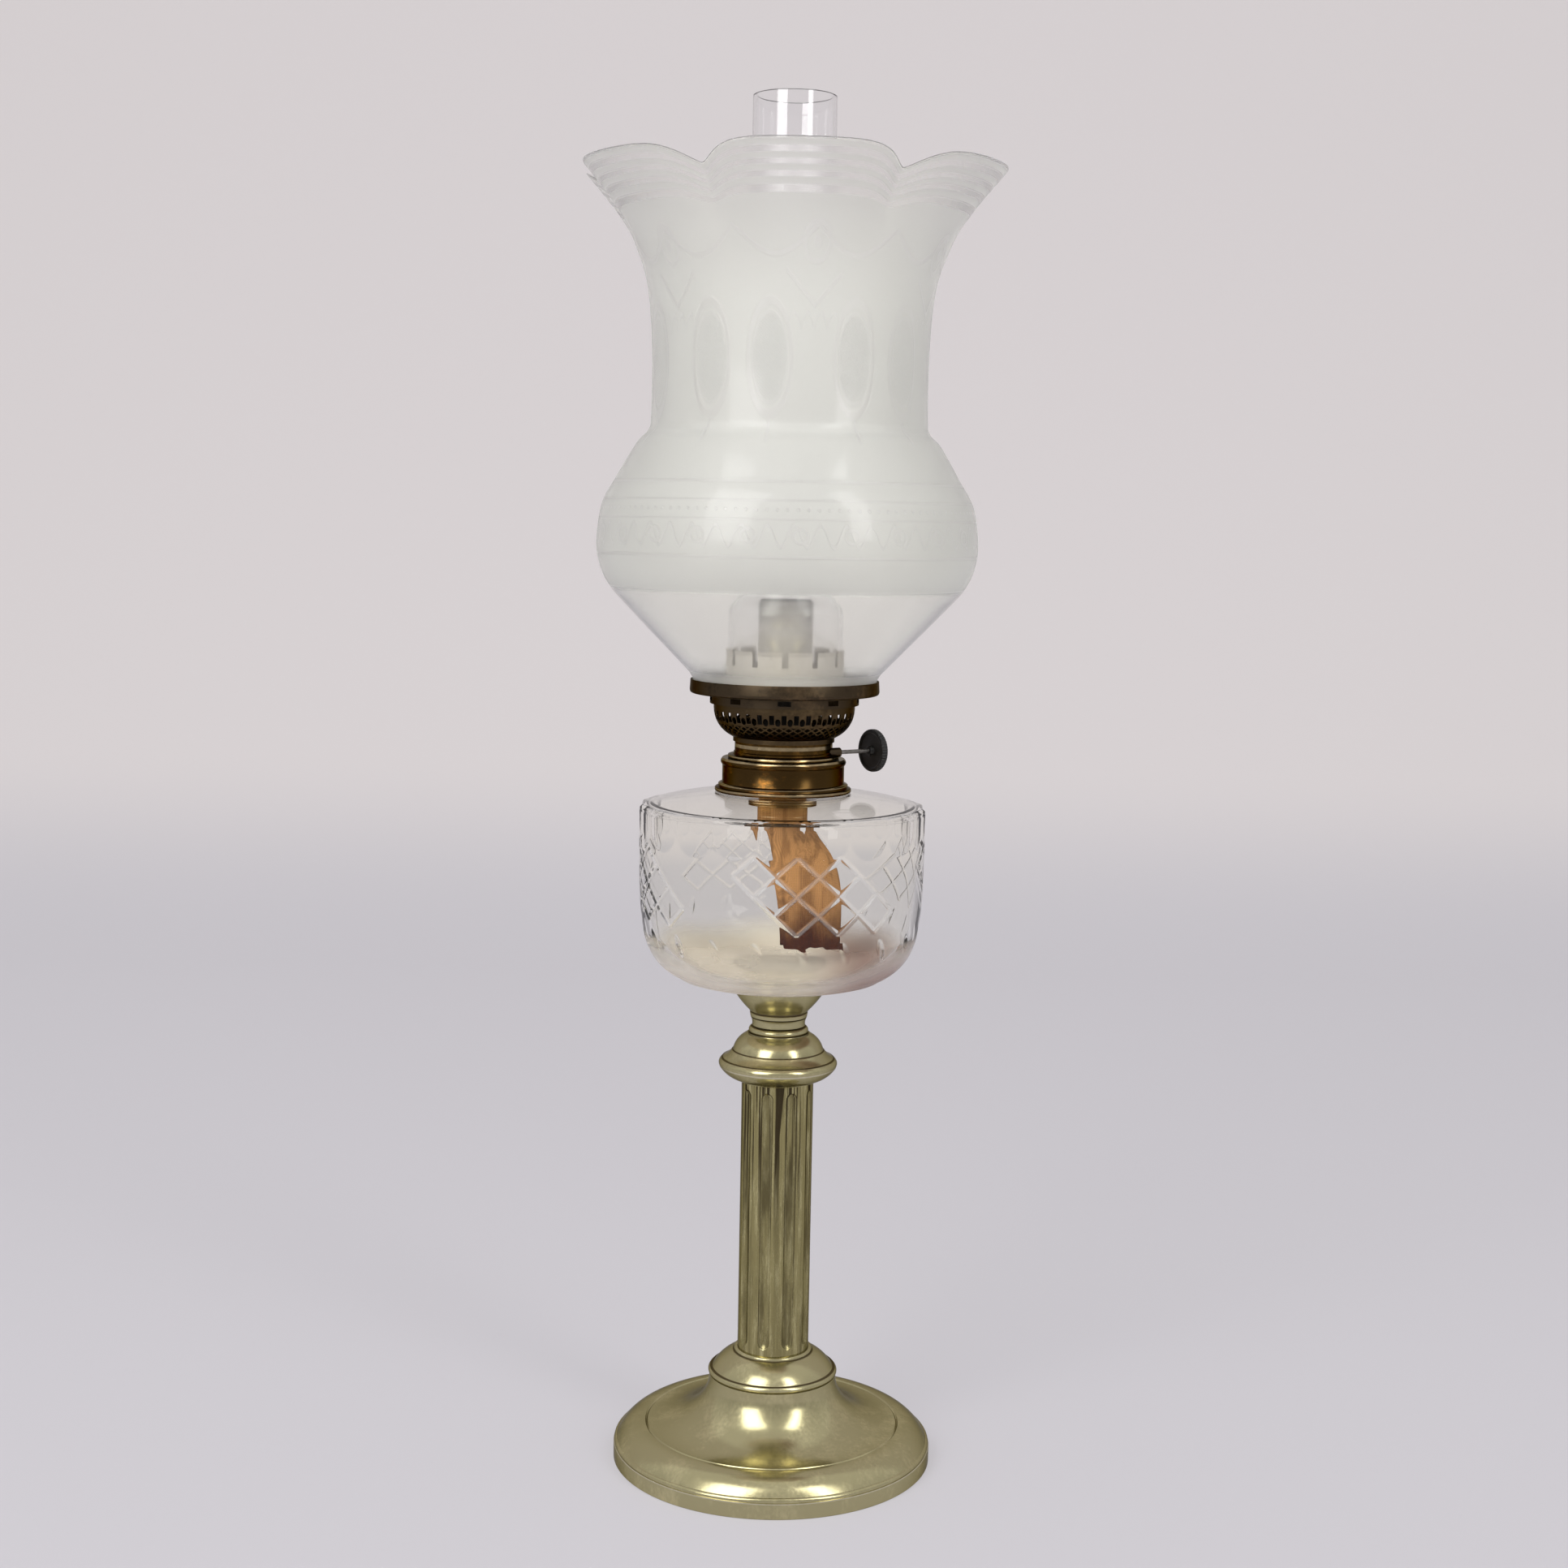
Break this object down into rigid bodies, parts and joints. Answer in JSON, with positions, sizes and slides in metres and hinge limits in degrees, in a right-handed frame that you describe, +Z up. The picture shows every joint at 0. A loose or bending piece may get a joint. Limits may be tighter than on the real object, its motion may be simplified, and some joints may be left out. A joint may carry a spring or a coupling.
{
  "type": "kerosene table lamp",
  "caption": "Column table lamp with a brass foot and fluted column, cut-glass font, round-wick burner with side winder, straight glass chimney and frilled tulip shade.",
  "frame": {"origin": "centre of the foot's underside, on the table", "axes": "+Z up along the lamp's axis, -Y towards the viewer of the picture, +X to the picture's right"},
  "size_m": [0.1898, 0.1948, 0.635],
  "materials": {
    "aged_brass": "worn satin, olive with age",
    "iron": "rough cast",
    "steel": "dull, threaded",
    "plaster": "matt, chalky",
    "font_glass": "clear, cut",
    "collar_brass": "warm, tarnished",
    "dark_brass": "dark bronze tarnish",
    "shaft_steel": "dull",
    "knob_black": "black, worn",
    "cotton": "woven, soaked",
    "chimney_glass": "clear, thin",
    "shade_glass": "clear with acid-etched frosting"
  },
  "bodies": {
    "stand": {"foot_shell": "aged_brass", "foot_weight": "iron", "tie_rod": "steel", "tie_rod_nut": "steel", "tie_rod_washer": "steel", "column_socket": "aged_brass", "column": "aged_brass", "capital": "aged_brass", "neck_spool": "aged_brass", "font_cup": "aged_brass", "cup_plaster": "plaster", "font": "font_glass", "collar_plaster": "plaster", "font_collar": "collar_brass"},
    "burner": {"burner_drum": "dark_brass", "drum_floor": "dark_brass", "wick_guide": "dark_brass", "wick_tube": "dark_brass", "air_tube": "dark_brass", "basket": "dark_brass", "gallery_crown": "dark_brass", "shade_ring": "dark_brass", "chimney_holder": "dark_brass", "shaft_bracket": "dark_brass", "winder_sleeve": "dark_brass"},
    "winder": {"winder_shaft": "shaft_steel", "spur_wheels": "dark_brass", "winder_knob": "knob_black", "knob_rivet": "knob_black"},
    "wick": {"wick": "cotton"},
    "chimney": {"chimney": "chimney_glass"},
    "shade": {"shade": "shade_glass"}
  },
  "joints": [
    {"name": "burner_twist", "type": "hinge", "parent": "stand", "child": "burner", "pos_m": [0, 0, 0.336], "axis": [0, 0, 1], "range_deg": [0, 40]},
    {"name": "winder_turn", "type": "hinge", "parent": "burner", "child": "winder", "pos_m": [0.00918, -0.01335, 0.3392], "axis": [0.8241, 0.5664, 0], "range_deg": [-114, 85]},
    {"name": "wick_slide", "type": "slide", "parent": "burner", "child": "wick", "axis": [0, 0, 1], "range_m": [-0.008, 0.006]},
    {"name": "chimney_lift", "type": "slide", "parent": "burner", "child": "chimney", "axis": [0, 0, 1], "range_m": [0, 0.28]},
    {"name": "shade_lift", "type": "slide", "parent": "burner", "child": "shade", "axis": [0, 0, 1], "range_m": [0, 0.28]}
  ],
  "couplings": [
    {"joint": "wick_slide", "follows": "winder_turn", "m_per_rad": 0.004}
  ]
}
